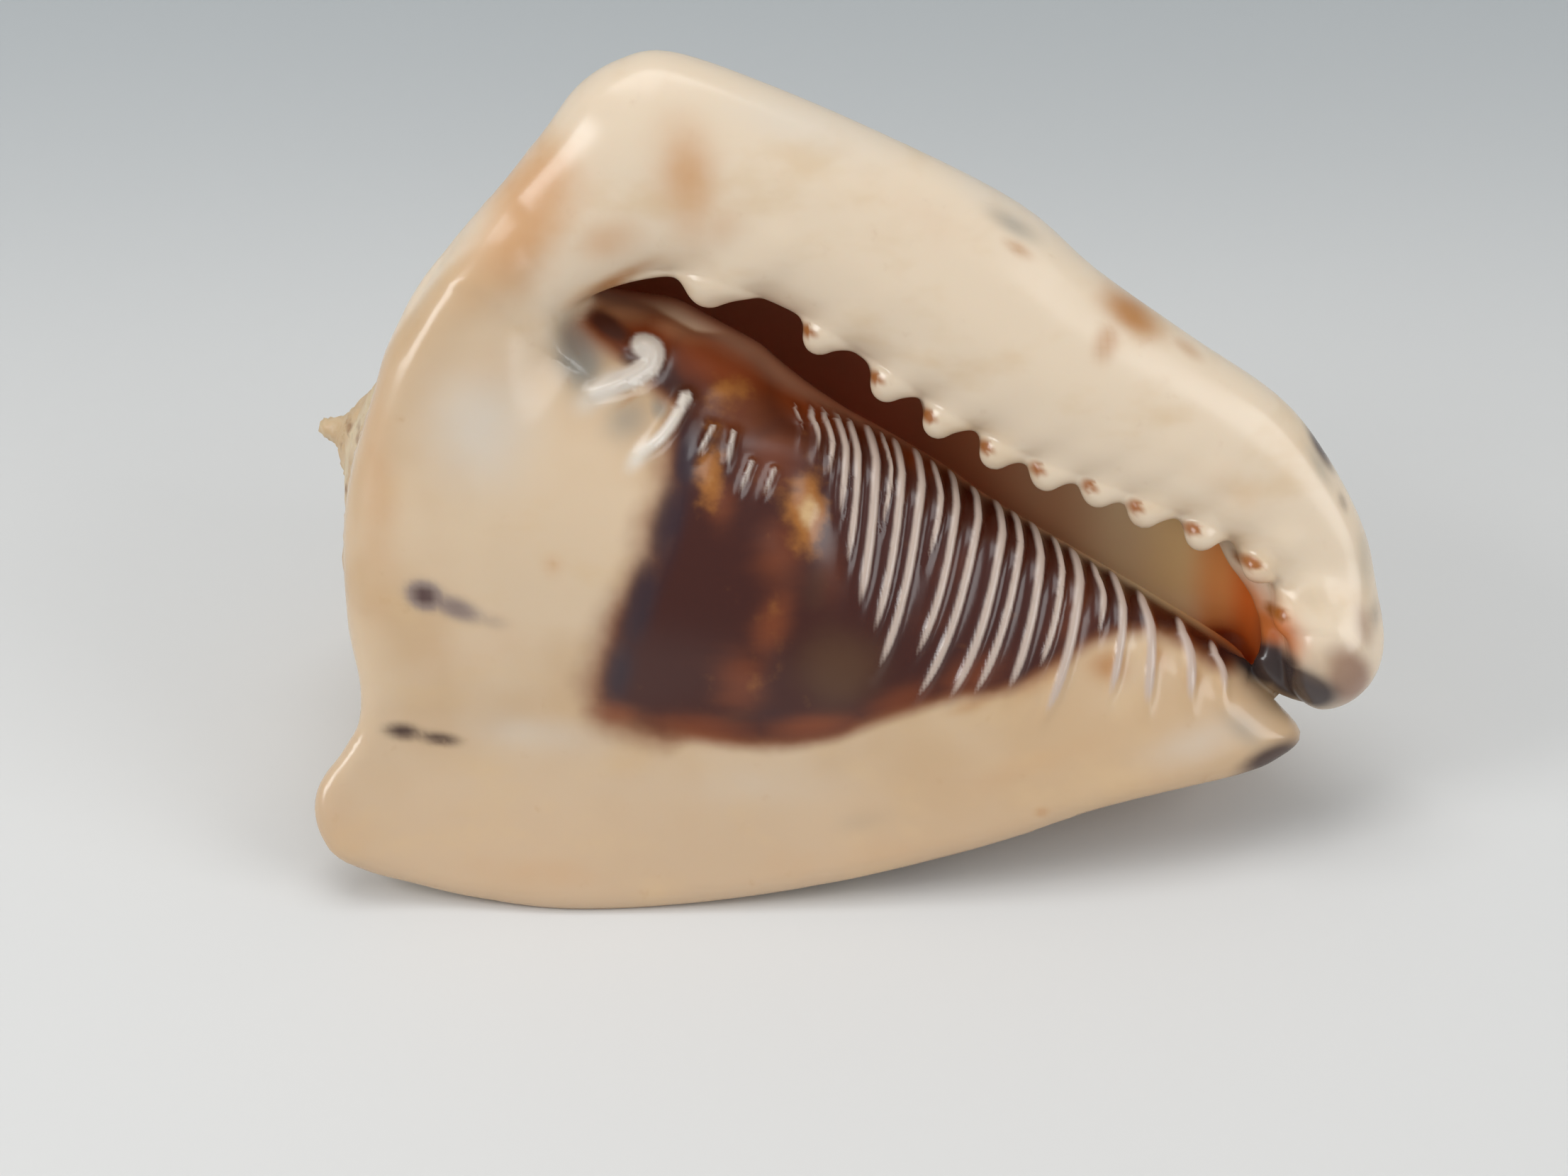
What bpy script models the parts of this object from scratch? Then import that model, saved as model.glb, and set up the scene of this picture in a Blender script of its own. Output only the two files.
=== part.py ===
"""A large helmet shell at rest, aperture side up and forward, as one closed solid."""
import math

import bmesh
import bpy
import numpy as np
import openvdb
from mathutils import Matrix

# All measures are millimetres and degrees on the shell's own face: u runs from the spire to the canal,
# v from the shield's lower rim up to the outer lip, and w out of the face. Metres start at placeShell.
gridStep = 1.4
faceCount = 9400         # triangles kept after the surface is simplified
faceTilt = 25.0          # how far the face leans back from upright when the shell lies at rest
middle = (-1.1, 30.0)    # centre of the shell's plan at rest, measured from the face's origin
restHeight = -77.4       # level of the table, measured up the leaning face
tableSink = 0.9          # depth of the three small flats it rests on

# coil
apex = (-106.0, 5.5, -46.0)
coilAxis = (193.0, -50.0, 26.0)
growthPerTurn = 1.386
spireTaper = 0.2         # how much faster than the last turn the earlier ones narrow, as a power
backProfile = [(10, 0), (14, 17), (19, 32), (24.5, 43), (32, 50.5), (42, 53), (56, 52.5), (74, 49), (95, 42.5),
               (118, 34.5), (142, 26), (165, 18), (184, 12), (196, 7), (201, 0)]
knobRows = [(32, 11.4, 7.0), (60, 4.0, 6.0), (88, 3.0, 6.0)]     # distance from the apex, height, half width
knobsPerTurn = 9
knobPhase = 40.0
earlierTurns = 4
apexTip = [(-108.4, 6.3, -46.2, 1.0), (-98.0, 4.2, -45.2, 6.6)]
pillarProfile = [(40, 10), (60, 20), (90, 26), (124, 22), (150, 16), (175, 9), (190, 4), (194, 0)]
skinLean = [(9, 0.45), (18, 0.55), (27, 0.7), (33, 0.95), (60, 0.98), (90, 0.94), (195, 0.92)]    # cosine of its slope

# hollow of the last turn
shellWall = 4.5
hollowStart = 80.0       # turn angle, 0 in front, 90 below, 180 behind, 270 above
lastTurnEnd = -38.0      # where the last turn stops, over the opening
flareStart, flareEnd = 185.0, 290.0
lipRoot = [(17, 0), (21, 28), (26, 45), (33, 57), (40, 64), (52, 69.5), (74, 72), (95, 69), (117, 65), (135, 58),
           (150, 52), (162, 47), (179, 39), (190, 32), (200, 24), (206, 16), (210, 6)]

# outer lip
lipRim = [(-84.5, 20), (-83, 29), (-79.5, 37), (-72, 48), (-58, 65), (-51, 74), (-43, 79), (-34, 80.5), (-18, 75.5),
          (7, 65), (33, 52), (48, 39.5), (66, 27), (84, 15), (94, 3), (101.5, -11), (104, -23), (103, -34),
          (99.5, -41), (94, -44)]
lipEdge = [(89, -41), (87.5, -33), (85.5, -22.5), (76, -12.8), (64.7, -7.4), (54.7, -3.3), (45.2, 0.2), (35.3, 3.9),
           (25, 9.3), (14.5, 15.8), (3, 23.8), (-14, 33.7), (-33, 39.5), (-45.5, 36.8), (-55.5, 30.5)]
lipBack = [(-62, 18), (-76, 10)]
lipCrown = 8.0
lipTilt = 0.03             # fall of the lip's face toward the canal, mm per mm
lipThickness = (9.0, 16.0)
lipRounding = 5.5
toothRoot = (-2.0, 0.6)      # level of a tooth's axis where it runs up into the lip, near and far
toothTips = [(-26, 32.5, 4.4), (-5, 23.5, 2.9), (8, 14.5, 2.9), (18, 7.4, 2.8), (29, 1.4, 2.8), (39, -2.8, 2.8),
             (49, -6, 2.7), (58, -10, 2.7), (69, -14.4, 2.7), (80, -20.4, 2.4), (86, -30, 2.0)]

# shield and its flange
shieldRim = [(90.5, -52), (85, -57), (77, -59.5), (65, -61.5), (49, -65), (34, -70), (16, -75), (-4, -79.5),
             (-27, -83), (-51, -84.5), (-71, -82.5), (-86, -79), (-94, -76.5), (-100, -73), (-103, -66),
             (-102, -59.5), (-97, -52.5), (-94, -45), (-93, -23), (-93, -6), (-90, 7), (-85, 18), (-79, 28),
             (-71, 37), (-62, 42), (-54, 36)]
columellaEdge = [(-53.5, 29.5), (-45, 22), (-37, 15), (-28, 12), (-17, 11), (-6, 9), (5, 5.5), (16, 0), (23, -5),
                 (33, -11), (43, -17.5), (56, -25.5), (67, -32.5), (76, -38.5), (83, -44)]
shieldThickness = 7.0
shieldHeights = [(-90, 0, 1.5), (-91, -40, 2), (-75, -10, 0), (-75, -40, -1), (-98, -68, 3), (-60, -80, 2.5),
                 (0, -76, 2.5), (50, -62, 0.5), (85, -53, -6), (-85, -56, -2), (-60, -62, -2.5), (0, -60, -1),
                 (40, -52, -1), (-30, -30, 4), (-20, -10, 4), (0, -30, 3.5), (30, -35, 0), (40, -20, -7),
                 (-5, 3, -7), (20, -8, -7), (-37, 8, -4), (62, -36, -6), (-58, 8, 0), (-66, 30, 2), (-62, 41, 4),
                 (-50, 27, -8), (-42, 18, -9), (-26, 12, -9), (-12, 10, -9)]

# opening between lip and columella
openingEdge = [(-55.5, 29.5), (-46.5, 35.8), (-33, 38.5), (-21, 36), (-9, 31), (3, 23), (14, 15.5), (25, 9), (35, 3.5),
               (45, 0), (55, -4), (65, -8), (76, -13.5), (84.5, -23), (87, -34), (88, -42), (93, -50), (90, -58),
               (70, -48), (40, -35), (0, -10), (-40, 5), (-52, 20)]
parietalPad = [(-62, 24, -26, 13), (-38, 20, -25, 14), (-25, 13, -26, 14), (-8, 0, -27, 12.5), (12, -12, -27, 11)]

# siphonal canal, turned back behind the shield's tip
canalWall = [(46, -20, -26, 17), (62, -32, -30, 16), (74, -38, -36, 14.5), (78, -43.5, -46, 12.5),
             (79, -48.3, -55, 10.5)]
canalShoulder = [(94, -35, -8, 8), (86, -33, -18, 8), (76, -33, -28, 10)]
canalBore = [(20, 0, -16, 9), (50, -13, -13, 8), (72, -28, -12, 7), (79, -36, -22, 6.5), (78, -41, -35, 5.5),
             (77, -50, -50, 5), (76, -58, -68, 5)]

# white ridges across the columella: top u, top v, bottom u, bottom v, half width
ridges = [(-6, 10.5, -5.7, 2, 0.6), (-3.9, 10, -3.8, -2, 0.6), (-0.7, 9.6, -1.4, -9.4, 0.8), (1.6, 8, -0.3, -18, 0.7),
          (5.6, 7.2, 2, -26, 1.0), (8.7, 4.8, 5.6, -24, 0.6), (10.9, 4, 4.6, -31, 0.9), (15.1, 2.1, 5.4, -38, 1.0),
          (18.2, -0.8, 15, -18, 0.6), (22, -2.3, 12.3, -36, 0.9), (26.5, -5.4, 12.4, -44, 0.9),
          (31.2, -7.8, 18.7, -44.5, 1.0), (34.6, -10.4, 23.3, -44, 0.9), (38.4, -12.2, 30.4, -43, 1.0),
          (42.4, -15.5, 36.4, -39, 0.8), (46, -18, 37.6, -48, 1.4), (49.8, -21, 48.6, -33, 0.7),
          (54, -22.6, 50.7, -45, 1.1), (59, -26.8, 58.5, -47, 1.3), (66.5, -32, 67.5, -46.5, 1.2),
          (73, -36.6, 74.5, -45.5, 1.1)]
ridgeHeight = 1.2
ridgeLean = 0.2              # toward the spire, mm for each mm further in
ridgeSpread = 1.35
folds = [([(-39.6, 24.4), (-37.8, 23.6), (-38.6, 20.5), (-43, 17.5), (-48, 15)], 2.2, 1.8),
         ([(-31.2, 14.6), (-34.2, 9.2), (-39.2, 3.8)], 1.5, 1.4)]      # line, half width, height
lumps = [(-26, 0, 5, 9, 1.5), (-7.5, -6.5, 4.5, 8, 2.2)]        # u, v, half widths, height


def unit(vector):
    return np.array(vector, float) / np.linalg.norm(vector)


def smoothMin(a, b, blend):
    share = np.clip(0.5 + 0.5 * (b - a) / blend, 0, 1)
    return b + (a - b) * share - blend * share * (1 - share)


def smoothMax(a, b, blend):
    return -smoothMin(-a, -b, blend)


def smoothStep(low, high, x):
    t = np.clip((x - low) / (high - low), 0, 1)
    return t * t * (3 - 2 * t)


def splinePoints(points, cuts, closed=False):
    """A smooth curve through the points, with this many pieces between each two."""
    p = np.array(points, float)
    if closed:
        p = np.vstack([p[-1], p, p[:2]])
    else:
        p = np.vstack([2 * p[0] - p[1], p, 2 * p[-1] - p[-2]])
    t = (np.arange(cuts) / cuts)[:, None]
    spans = []
    for a, b, c, d in zip(p[:-3], p[1:-2], p[2:-1], p[3:]):
        spans.append(0.5 * (2 * b + (c - a) * t + (2 * a - 5 * b + 4 * c - d) * t ** 2
                            + (3 * b - a - 3 * c + d) * t ** 3))
    curve = np.vstack(spans)
    return curve if closed else np.vstack([curve, p[-2]])


def lineDistance(line, u, v):
    best = 1e9
    for a, b in zip(line[:-1], line[1:]):
        e = b - a
        t = np.clip(((u - a[0]) * e[0] + (v - a[1]) * e[1]) / (e @ e), 0, 1)
        best = np.minimum(best, (u - a[0] - t * e[0]) ** 2 + (v - a[1] - t * e[1]) ** 2)
    return np.sqrt(best)


def outlineDistance(points, u, v):
    """Distance to a closed outline, negative inside it."""
    loop = splinePoints(points, 5, closed=True)
    loop = np.vstack([loop, loop[0]])
    inside = np.zeros(np.broadcast(u, v).shape, bool)
    for a, b in zip(loop[:-1], loop[1:]):
        if a[1] != b[1]:
            across = u < (b[0] - a[0]) * (v - a[1]) / (b[1] - a[1]) + a[0]
            inside ^= ((a[1] > v) != (b[1] > v)) & across
    return np.where(inside, -1, 1) * lineDistance(loop, u, v)


def plateHeight(points, u, v, stiffness=120.0):
    """Height of a thin springy plate laid through the points (u, v, height)."""
    p = np.array(points, float)
    n = len(p)
    gap = np.hypot(p[:, None, 0] - p[:, 0], p[:, None, 1] - p[:, 1])
    flat = np.column_stack([np.ones(n), p[:, :2]])
    system = np.zeros((n + 3, n + 3))
    system[:n, :n] = gap ** 2 * np.log(gap + 1e-9) + stiffness * np.eye(n)
    system[:n, n:] = flat
    system[n:, :n] = flat.T
    weights = np.linalg.solve(system, np.append(p[:, 2], [0, 0, 0]))
    height = weights[n] + weights[n + 1] * u + weights[n + 2] * v
    for (pu, pv, _), weight in zip(p, weights):
        r = np.hypot(u - pu, v - pv)
        height = height + weight * r ** 2 * np.log(r + 1e-9)
    return height


def tube(points, u, v, w):
    """Distance to a round bar through the points (u, v, w, radius)."""
    best = 1e9
    for a, b in zip(np.array(points, float)[:-1], np.array(points, float)[1:]):
        e = (b - a)[:3]
        t = np.clip(((u - a[0]) * e[0] + (v - a[1]) * e[1] + (w - a[2]) * e[2]) / (e @ e), 0, 1)
        away = (u - a[0] - t * e[0]) ** 2 + (v - a[1] - t * e[1]) ** 2 + (w - a[2] - t * e[2]) ** 2
        best = np.minimum(best, np.sqrt(away) - a[3] - t * (b[3] - a[3]))
    return best


def slab(edge, top, thickness, rounding, w):
    """Distance to a plate of this outline whose edges are rounded."""
    x = edge + rounding
    y = np.abs(w - top + thickness / 2) - thickness / 2 + rounding
    return np.hypot(np.maximum(x, 0), np.maximum(y, 0)) + np.minimum(np.maximum(x, y), 0) - rounding


def coilPlace(u, v, w):
    """Distance along the coil's axis, distance from it, and turn angle from -180 to 180."""
    along = unit(coilAxis)
    front = unit(np.array([0, 0, 1]) - along[2] * along)
    below = -np.cross(along, front) if np.cross(along, front)[1] > 0 else np.cross(along, front)
    q = (u - apex[0], v - apex[1], w - apex[2])
    s, x, y = (sum(q[i] * way[i] for i in range(3)) for way in (along, front, below))
    return s, np.hypot(x, y), np.degrees(np.arctan2(y, x))


def turnDistance(s, r, angle, knobs=False, flared=False):
    """Distance to the skin of the coil where it has turned this far."""
    profile = splinePoints(backProfile, 8)
    scale = growthPerTurn ** ((angle - 180) / 360)
    level = s / scale
    radius = np.interp(level, profile[:, 0], profile[:, 1], left=-20, right=-20)
    if knobs:
        wave = (0.5 + 0.5 * np.cos(np.radians(knobsPerTurn * angle + knobPhase))) ** 2
        wave = wave * (1 - smoothStep(245, 285, angle)) * np.where(angle > -100, smoothStep(25, 65, angle), 1)
        for at, height, half in knobRows:
            radius = radius + height * wave * np.exp(-((level - at) / half) ** 2)
    radius = radius * scale * np.minimum(1, scale / 0.82) ** spireTaper
    slope = np.array(skinLean)
    lean = np.interp(level, slope[:, 0], slope[:, 1])
    if flared:
        root = splinePoints(lipRoot, 6)
        reach = smoothStep(flareStart, flareEnd, angle)
        radius = radius + reach * (np.interp(s, root[:, 0], root[:, 1], left=-20, right=-10) - radius)
        lean = lean * (1 - 0.25 * reach * (s > 150))
    return (r - radius) * lean


def ridgePattern(u, v, w):
    """1 on the crest of a white ridge of the columella, 0 between two; deeper in they lean to the spire."""
    u = u + ridgeLean * np.maximum(0, -9 - w)
    pattern = 0
    for topU, topV, bottomU, bottomV, half in ridges:
        length = topV - bottomV
        t = np.clip((topV - v) / length, 0, 1)
        bow = 3 * t * (1 - t) ** 2 * 1.5 + 3 * t ** 2 * (1 - t) * 0.30 * (topU - bottomU)
        middle = topU + (bottomU - topU) * t + bow
        ends = smoothStep(bottomV - 2, bottomV + 5, v) * smoothStep(topV + 4.5, topV + 0.5, v)
        pattern = np.maximum(pattern, ends * np.exp(-((u - middle) / (half * ridgeSpread)) ** 2))
    return pattern


def shellDistance(u, v, w):
    """Distance to the shell's skin, negative inside its wall."""
    s, r, angle = coilPlace(u, v, w)

    lipD = outlineDistance(lipRim + lipEdge + lipBack, u, v)
    rimGap = lineDistance(splinePoints(lipRim, 4), u, v)
    edgeGap = lineDistance(splinePoints(lipEdge, 4), u, v)
    share = rimGap / (rimGap + edgeGap)
    rise = smoothStep(12, 48, v + 2 * np.maximum(0, u + 50))
    rise = rise * smoothStep(6, 40, rimGap + edgeGap)
    lipTop = -1.5 - lipTilt * (u + 50) + lipCrown * rise * (4 * share * (1 - share)) ** 0.8
    lipDeep = lipThickness[0] + (lipThickness[1] - lipThickness[0]) * smoothStep(-80, -30, u)
    lip = slab(lipD, lipTop, lipDeep, lipRounding, w)

    bend = 1 - smoothStep(3, 26, lineDistance(splinePoints(columellaEdge, 4), u, v))
    shieldD = outlineDistance(shieldRim + columellaEdge, u, v)
    shieldTop = plateHeight(shieldHeights, u, v)
    shield = slab(shieldD, shieldTop, shieldThickness + 10 * bend, 3.4 + 4.6 * bend, w)

    # last turn with the spire, the lip and the canal, all later hollowed
    late = np.where(angle > lastTurnEnd, angle, angle + 360)
    outer = smoothMax(turnDistance(s, r, late, knobs=True, flared=True), w - lipTop + 4, 6)
    wall = smoothMin(outer, lip, 9)
    whole = np.where(angle > -90, angle, angle + 360)
    for turn in range(1, earlierTurns + 1):
        wall = smoothMin(wall, turnDistance(s, r, whole - 360 * turn, knobs=True), 2)
    wall = smoothMin(wall, tube(apexTip, u, v, w), 2)
    wall = smoothMin(wall, np.minimum(tube(canalWall, u, v, w), tube(canalShoulder, u, v, w)), 12)

    fromStart = r * np.sin(np.radians(np.clip(hollowStart - late, -90, 90)))
    hollow = smoothMax(turnDistance(s, r, late, flared=True) + shellWall, fromStart, 5)
    hollow = smoothMax(hollow, w - lipTop + lipDeep - 1, 5)
    slotFloor = 30 - 18 * smoothStep(52, 82, u)
    slot = np.maximum(outlineDistance(openingEdge, u, v), -w - slotFloor)
    hollow = smoothMin(hollow, tube(canalBore, u, v, w), 5)
    hollow = smoothMin(hollow, slot, 6)
    wall = smoothMax(wall, -hollow, 2.5)

    # what the hollow leaves: the turn before, the pillar, the pad inside the opening and the shield
    before = np.where(angle > 0, angle - 360, angle)
    pastStart = r * np.sin(np.radians(np.clip(angle - hollowStart, -90, 90)))
    front = np.maximum(turnDistance(s, r, angle), np.where(angle > -100, pastStart, 50))
    core = np.minimum(turnDistance(s, r, before), front)
    pillar = splinePoints(pillarProfile, 6)
    core = smoothMin(core, 0.95 * (r - np.interp(s, pillar[:, 0], pillar[:, 1], left=-20, right=-20)), 6)
    core = smoothMin(core, tube(parietalPad, u, v, w), 8)
    core = smoothMin(core, shield, 12)
    core = core - ridgeHeight * ridgePattern(u, v, w) * (w > -40)
    for line, half, height in folds:
        core = core - height * np.exp(-(lineDistance(splinePoints(line, 4), u, v) / half) ** 2) * (w > -40)
    for pu, pv, halfU, halfV, height in lumps:
        core = core - height * np.exp(-((u - pu) / halfU) ** 2 - ((v - pv) / halfV) ** 2) * (w > -40)
    shoulder = (1 - smoothStep(-70, -50, u)) * smoothStep(-26, -12, w)
    skin = smoothMin(wall, core, 4 + 12 * shoulder)

    for tipU, tipV, half in toothTips:
        run = 1 - 0.6 * smoothStep(50, 80, tipU)
        level = lipTilt * (tipU + 50) + 2.5 * (1 - run)
        root = tipV + 5 + half / 3
        skin = smoothMin(skin, tube([(tipU + 1, tipV + 5, -14, half), (tipU - 0.2, tipV + half, -5, half),
                                     (tipU + 4.5 * run, root, toothRoot[0] - level, half),
                                     (tipU + 13 * run, tipV + 5 + 6.5 * run, toothRoot[1] - level, half - 0.8)],
                                    u, v, w), 4.5)
    return skin


def shellMesh(step):
    """The closed skin as a mesh in millimetres, from the distances on a grid."""
    low = np.array([-116.0, -94.0, -114.0])
    high = np.array([114.0, 90.0, 20.0])
    counts = np.ceil((high - low) / step).astype(int)
    u = (low[0] + step * np.arange(counts[0]))[:, None, None]
    v = (low[1] + step * np.arange(counts[1]))[None, :, None]
    w = (low[2] + step * np.arange(counts[2]))[None, None, :]
    band = 3 * step
    grid = openvdb.FloatGrid(band)
    grid.copyFromArray(np.clip(shellDistance(u, v, w), -band, band).astype(np.float32))
    points, quads = grid.convertToQuads(isovalue=0)
    return points * step + low, quads[:, ::-1]


def keepLargest(mesh):
    """Removes the crumbs that the grid leaves beside the main skin."""
    bm = bmesh.new()
    bm.from_mesh(mesh)
    islands, seen = [], set()
    for start in bm.verts:
        if start in seen:
            continue
        island, front = {start}, [start]
        while front:
            for edge in front.pop().link_edges:
                for vertex in edge.verts:
                    if vertex not in island:
                        island.add(vertex)
                        front.append(vertex)
        seen |= island
        islands.append(island)
    largest = max(islands, key=len)
    for island in islands:
        if island is not largest:
            bmesh.ops.delete(bm, geom=list(island), context='VERTS')
    bm.to_mesh(mesh)
    bm.free()


def collection(name):
    made = bpy.data.collections.new(name)
    bpy.context.scene.collection.children.link(made)
    return made


def shellMaterial():
    material = bpy.data.materials.new("porcelain-like shell")
    material.use_nodes = True
    shader = material.node_tree.nodes["Principled BSDF"]
    shader.inputs["Base Color"].default_value = (0.72, 0.55, 0.39, 1)
    shader.inputs["Roughness"].default_value = 0.3
    shader.inputs["Metallic"].default_value = 0
    return material


def placeShell(obj):
    """Leans the face back and stands the shell on the plane z = 0, over the origin."""
    lean = math.radians(faceTilt)
    turned = Matrix(((1, 0, 0, 0), (0, math.sin(lean), -math.cos(lean), 0), (0, math.cos(lean), math.sin(lean), 0),
                     (0, 0, 0, 1)))
    mesh = obj.data
    stand = Matrix.Translation((-middle[0] / 1000, -middle[1] / 1000, (-restHeight - tableSink) / 1000))
    mesh.transform(stand @ turned @ Matrix.Scale(0.001, 4))


def main():
    for obj in list(bpy.data.objects):
        bpy.data.objects.remove(obj)
    parts, cutters = collection("helmet shell"), collection("cutters")
    cutters.hide_render = True

    points, quads = shellMesh(gridStep)
    mesh = bpy.data.meshes.new("helmet_shell")
    mesh.from_pydata(points.tolist(), [], quads.tolist())
    keepLargest(mesh)
    mesh.materials.append(shellMaterial())
    mesh.shade_smooth()
    shell = bpy.data.objects.new("helmet_shell", mesh)
    parts.objects.link(shell)
    placeShell(shell)

    simplify = shell.modifiers.new("simplify", 'DECIMATE')
    simplify.ratio = faceCount / (2 * len(quads))
    simplify.use_collapse_triangulate = True

    bpy.ops.mesh.primitive_cube_add(size=1, location=(0, 0, -0.05), scale=(0.4, 0.4, 0.1))
    table = bpy.context.object
    table.name = "table cutter"
    table.hide_render = True
    table.display_type = 'WIRE'
    for holder in list(table.users_collection):
        holder.objects.unlink(table)
    cutters.objects.link(table)
    flats = shell.modifiers.new("resting flats", 'BOOLEAN')
    flats.operation = 'DIFFERENCE'
    flats.solver = 'EXACT'
    flats.object = table


main()
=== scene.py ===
import math

import bmesh
import bpy
import numpy as np
import openvdb
from mathutils import Matrix, Vector


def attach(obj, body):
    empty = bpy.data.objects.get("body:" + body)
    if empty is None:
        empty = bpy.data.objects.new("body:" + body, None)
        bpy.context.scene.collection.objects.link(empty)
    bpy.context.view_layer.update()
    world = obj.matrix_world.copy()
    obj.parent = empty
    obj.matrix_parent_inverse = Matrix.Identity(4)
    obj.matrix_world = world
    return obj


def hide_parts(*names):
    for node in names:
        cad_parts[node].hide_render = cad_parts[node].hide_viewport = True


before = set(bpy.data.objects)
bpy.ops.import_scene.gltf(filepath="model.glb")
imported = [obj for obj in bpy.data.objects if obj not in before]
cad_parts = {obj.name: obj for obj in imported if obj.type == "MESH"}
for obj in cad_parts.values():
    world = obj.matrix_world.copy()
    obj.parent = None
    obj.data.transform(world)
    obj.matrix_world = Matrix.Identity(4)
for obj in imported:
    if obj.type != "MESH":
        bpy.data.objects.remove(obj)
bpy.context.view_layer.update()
print("frame loaded")

# Shapes are worked out in millimetres on the shell's own face: u runs from the spire to the canal,
# v from the shield's lower rim up to the outer lip, and w out of the face.

rest = {
    "faceTilt": 25.0,  # how far the face leans back from upright
    "level": -77.4,  # height of the table, measured up the leaning face
    "sink": 0.9,  # depth of the worn flats it rests on
    "middle": (-1.1, 30.0),  # centre of its plan, from the face's origin
}

coil = {
    "apex": (-106, 5.5, -46),
    "axis": (193, -50, 26),
    "growthPerTurn": 1.386,
    "taper": (0.82, 0.2),  # turns of a smaller scale than this narrow faster, by this power
    "earlierTurns": 4,
    "earlierSeam": -90,  # turn angle at which one earlier turn becomes the next
    "earlierEnd": -100,  # turn angle before which there are only earlier turns
    "lastTurnEnd": -38,  # turn angle, 0 in front, 90 below, 180 behind, 270 above
    "profile": [
        (10, 0), (14, 17), (19, 32), (24.5, 43), (32, 50.5), (42, 53), (56, 52.5), (74, 49), (95, 42.5),
        (118, 34.5), (142, 26), (165, 18), (184, 12), (196, 7), (201, 0)],
    "slope": [(9, 0.45), (18, 0.55), (27, 0.7), (33, 0.95), (60, 0.98), (90, 0.94), (195, 0.92)],
    # rows of knobs: distance from the apex, height, half width
    "knobRows": [(32, 11.4, 7), (60, 4, 6), (88, 3, 6)],
    "knobsPerTurn": 9,
    "knobPhase": 40,
    "knobsRise": (25, 65),  # turn angles over which the last turn's knobs rise, and fade
    "knobsFade": (245, 285),
    "paleKnob": 7,  # half width of the pale tip of a shoulder knob
    "tip": [(-108.4, 6.3, -46.2, 1), (-98, 4.2, -45.2, 6.6)],
    "pillar": [(40, 10), (60, 20), (90, 26), (124, 22), (150, 16), (175, 9), (190, 4), (194, 0)],
    "pillarSlope": 0.95,
    "wall": 4.5,
    "hollowStart": 80,
    "flare": (185, 290),  # turn angles over which the wall opens out into the lip
    "flareEase": (150, 0.25),  # past this distance the flare lowers the slope, by this share
    "lipRoot": [
        (17, 0), (21, 28), (26, 45), (33, 57), (40, 64), (52, 69.5), (74, 72), (95, 69), (117, 65),
        (135, 58), (150, 52), (162, 47), (179, 39), (190, 32), (200, 24), (206, 16), (210, 6)],
    "noRadius": (-20, -10),  # past the ends of these curves, and past the flare's at the canal
    "farOff": 50,  # a distance too large to change anything
}

lip = {
    "rim": [
        (-84.5, 20), (-83, 29), (-79.5, 37), (-72, 48), (-58, 65), (-51, 74), (-43, 79), (-34, 80.5),
        (-18, 75.5), (7, 65), (33, 52), (48, 39.5), (66, 27), (84, 15), (94, 3), (101.5, -11),
        (104, -23), (103, -34), (99.5, -41), (94, -44)],
    "edge": [
        (89, -41), (87.5, -33), (85.5, -22.5), (76, -12.8), (64.7, -7.4), (54.7, -3.3), (45.2, 0.2),
        (35.3, 3.9), (25, 9.3), (14.5, 15.8), (3, 23.8), (-14, 33.7), (-33, 39.5), (-45.5, 36.8),
        (-55.5, 30.5)],
    "back": [(-62, 18), (-76, 10)],
    "level": -1.5,
    "tilt": 0.03,  # fall of its face toward the canal, mm per mm
    "tiltFrom": -50,
    "crown": 8,
    "crownPower": 0.8,
    "crownHeights": (12, 48),  # v between which the crown rises
    "crownWidths": (6, 40),  # widths of the lip between which it rises
    "thickness": (9, 16),  # at the spire and toward the canal
    "thickens": (-80, -30),
    "rounding": 5.5,
    "overLap": 4,  # how far under its face the last turn ends
    "underLap": 1,  # how far into its back the hollow reaches
}

teeth = {
    # tip u, tip v, half width
    "tips": [
        (-26, 32.5, 4.4), (-5, 23.5, 2.9), (8, 14.5, 2.9), (18, 7.4, 2.8), (29, 1.4, 2.8),
        (39, -2.8, 2.8), (49, -6, 2.7), (58, -10, 2.7), (69, -14.4, 2.7), (80, -20.4, 2.4),
        (86, -30, 2)],
    # a tooth's axis, by the distance in u and v from the tip and the level: under the lip, at the
    # tip (its v follows from the half width), over the edge, and up in the lip, where it is thinner
    "under": (1, 5, -14),
    "nose": (-0.2, -5),
    "over": (4.5, 5, -2),
    "up": (13, 6.5, 0.6),
    "thinner": 0.8,
    "shorten": (50, 80, 0.6),  # u between which the teeth grow shorter, and by what share
    "lower": 2.5,  # how much lower a tooth of no length would lie
}

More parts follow.
